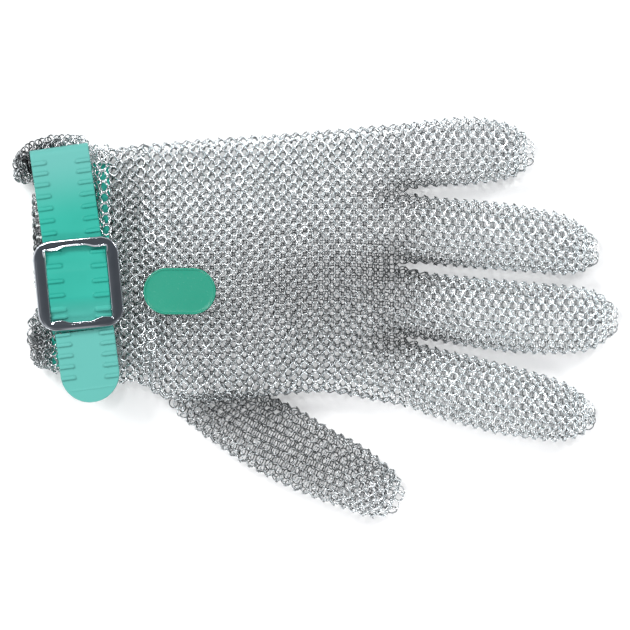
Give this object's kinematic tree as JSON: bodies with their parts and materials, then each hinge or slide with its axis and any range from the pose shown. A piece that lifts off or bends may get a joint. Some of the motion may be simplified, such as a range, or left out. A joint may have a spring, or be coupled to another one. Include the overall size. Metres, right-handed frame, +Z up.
{
  "type": "cut resistant glove",
  "caption": "Reversible five-finger glove of linked steel rings, with a plastic wrist strap, a slide buckle and an oval size tag.",
  "frame": {"origin": "a point on the flat underside that the glove lies on, at the middle of its outline", "axes": "+X towards the fingertips, +Y towards the little finger's side, +Z up from the surface that the glove lies on"},
  "size_m": [0.2229, 0.1522, 0.025],
  "materials": {
    "ring_mesh": "bright tumbled stainless wire rings",
    "strap_polymer": "satin mint green polyurethane with raised edge ribs",
    "buckle_steel": "polished stamped stainless steel",
    "tag_plastic": "smooth green plastic with a lighter rim"
  },
  "bodies": {
    "hand": {"cuff_lower_mesh": "ring_mesh", "cuff_upper_thumb_side_mesh": "ring_mesh", "cuff_upper_little_side_mesh": "ring_mesh", "palm_lower_mesh": "ring_mesh", "palm_upper_rear_mesh": "ring_mesh", "palm_upper_front_mesh": "ring_mesh", "little_knuckle_mesh": "ring_mesh", "ring_knuckle_mesh": "ring_mesh", "middle_knuckle_mesh": "ring_mesh", "index_knuckle_mesh": "ring_mesh", "thumb_crease_mesh": "ring_mesh", "wrist_band": "strap_polymer", "strap_outer_run": "strap_polymer", "strap_fold": "strap_polymer", "strap_anchor_loop": "strap_polymer", "tag_front_plate": "tag_plastic", "tag_back_plate": "tag_plastic", "tag_rivets": "tag_plastic"},
    "little_base": {"little_base_mesh": "ring_mesh", "little_bend_mesh": "ring_mesh"},
    "little_middle": {"little_middle_mesh": "ring_mesh", "little_tip_bend_mesh": "ring_mesh"},
    "little_tip": {"little_tip_mesh": "ring_mesh"},
    "ring_base": {"ring_base_mesh": "ring_mesh", "ring_bend_mesh": "ring_mesh"},
    "ring_middle": {"ring_middle_mesh": "ring_mesh", "ring_tip_bend_mesh": "ring_mesh"},
    "ring_tip": {"ring_tip_mesh": "ring_mesh"},
    "middle_base": {"middle_base_mesh": "ring_mesh", "middle_bend_mesh": "ring_mesh"},
    "middle_middle": {"middle_middle_mesh": "ring_mesh", "middle_tip_bend_mesh": "ring_mesh"},
    "middle_tip": {"middle_tip_mesh": "ring_mesh"},
    "index_base": {"index_base_mesh": "ring_mesh", "index_bend_mesh": "ring_mesh"},
    "index_middle": {"index_middle_mesh": "ring_mesh", "index_tip_bend_mesh": "ring_mesh"},
    "index_tip": {"index_tip_mesh": "ring_mesh"},
    "thumb_base": {"thumb_base_mesh": "ring_mesh", "thumb_bend_mesh": "ring_mesh"},
    "thumb_tip": {"thumb_tip_mesh": "ring_mesh"},
    "buckle": {"buckle_frame": "buckle_steel", "buckle_centre_bar": "buckle_steel", "strap_threaded_span": "strap_polymer"},
    "strap_end": {"strap_tail": "strap_polymer"}
  },
  "joints": [
    {"name": "little_knuckle_bend", "type": "hinge", "parent": "hand", "child": "little_base", "pos_m": [0.034, 0.0607, 0.0075], "axis": [0, -1, 0], "range_deg": [0, 60], "deforming": ["little_knuckle_mesh"]},
    {"name": "little_middle_bend", "type": "hinge", "parent": "little_base", "child": "little_middle", "pos_m": [0.0546, 0.0623, 0.0075], "axis": [0, -1, 0], "range_deg": [0, 65], "deforming": ["little_bend_mesh"]},
    {"name": "little_tip_bend", "type": "hinge", "parent": "little_middle", "child": "little_tip", "pos_m": [0.0686, 0.0627, 0.0075], "axis": [0, -1, 0], "range_deg": [0, 40], "deforming": ["little_tip_bend_mesh"]},
    {"name": "ring_knuckle_bend", "type": "hinge", "parent": "hand", "child": "ring_base", "pos_m": [0.034, 0.0332, 0.008], "axis": [0, -1, 0], "range_deg": [0, 60], "deforming": ["ring_knuckle_mesh"]},
    {"name": "ring_middle_bend", "type": "hinge", "parent": "ring_base", "child": "ring_middle", "pos_m": [0.0636, 0.0304, 0.008], "axis": [0, -1, 0], "range_deg": [0, 65], "deforming": ["ring_bend_mesh"]},
    {"name": "ring_tip_bend", "type": "hinge", "parent": "ring_middle", "child": "ring_tip", "pos_m": [0.086, 0.0284, 0.008], "axis": [0, -1, 0], "range_deg": [0, 40], "deforming": ["ring_tip_bend_mesh"]},
    {"name": "middle_knuckle_bend", "type": "hinge", "parent": "hand", "child": "middle_base", "pos_m": [0.034, 0.0044, 0.008], "axis": [0, -1, 0], "range_deg": [0, 60], "deforming": ["middle_knuckle_mesh"]},
    {"name": "middle_middle_bend", "type": "hinge", "parent": "middle_base", "child": "middle_middle", "pos_m": [0.066, 0.0009, 0.008], "axis": [0, -1, 0], "range_deg": [0, 65], "deforming": ["middle_bend_mesh"]},
    {"name": "middle_tip_bend", "type": "hinge", "parent": "middle_middle", "child": "middle_tip", "pos_m": [0.091, -0.0008, 0.008], "axis": [0, -1, 0], "range_deg": [0, 40], "deforming": ["middle_tip_bend_mesh"]},
    {"name": "index_knuckle_bend", "type": "hinge", "parent": "hand", "child": "index_base", "pos_m": [0.034, -0.0228, 0.008], "axis": [0, -1, 0], "range_deg": [0, 60], "deforming": ["index_knuckle_mesh"]},
    {"name": "index_middle_bend", "type": "hinge", "parent": "index_base", "child": "index_middle", "pos_m": [0.0615, -0.0295, 0.008], "axis": [0, -1, 0], "range_deg": [0, 65], "deforming": ["index_bend_mesh"]},
    {"name": "index_tip_bend", "type": "hinge", "parent": "index_middle", "child": "index_tip", "pos_m": [0.0835, -0.0345, 0.008], "axis": [0, -1, 0], "range_deg": [0, 40], "deforming": ["index_tip_bend_mesh"]},
    {"name": "thumb_fold", "type": "hinge", "parent": "hand", "child": "thumb_base", "pos_m": [-0.035, -0.0322, 0.008], "axis": [-1, 0, 0], "range_deg": [0, 30], "deforming": ["thumb_crease_mesh"]},
    {"name": "thumb_tip_bend", "type": "hinge", "parent": "thumb_base", "child": "thumb_tip", "pos_m": [0.00364, -0.05666, 0.008], "axis": [-0.4147, -0.91, 0], "range_deg": [0, 45], "deforming": ["thumb_bend_mesh"]},
    {"name": "buckle_lift", "type": "hinge", "parent": "hand", "child": "buckle", "pos_m": [-0.09123, 0.02872, 0.0225], "axis": [-0.9954, -0.0958, 0], "range_deg": [0, 25], "deforming": ["strap_anchor_loop"]},
    {"name": "strap_end_lift", "type": "hinge", "parent": "buckle", "child": "strap_end", "pos_m": [-0.08733, -0.00596, 0.0222], "axis": [-0.9919, -0.1271, 0], "range_deg": [0, 60]}
  ],
  "couplings": [
    {"joint": "little_tip_bend", "follows": "little_middle_bend", "ratio": 0.6},
    {"joint": "ring_tip_bend", "follows": "ring_middle_bend", "ratio": 0.6},
    {"joint": "middle_tip_bend", "follows": "middle_middle_bend", "ratio": 0.6},
    {"joint": "index_tip_bend", "follows": "index_middle_bend", "ratio": 0.6}
  ]
}
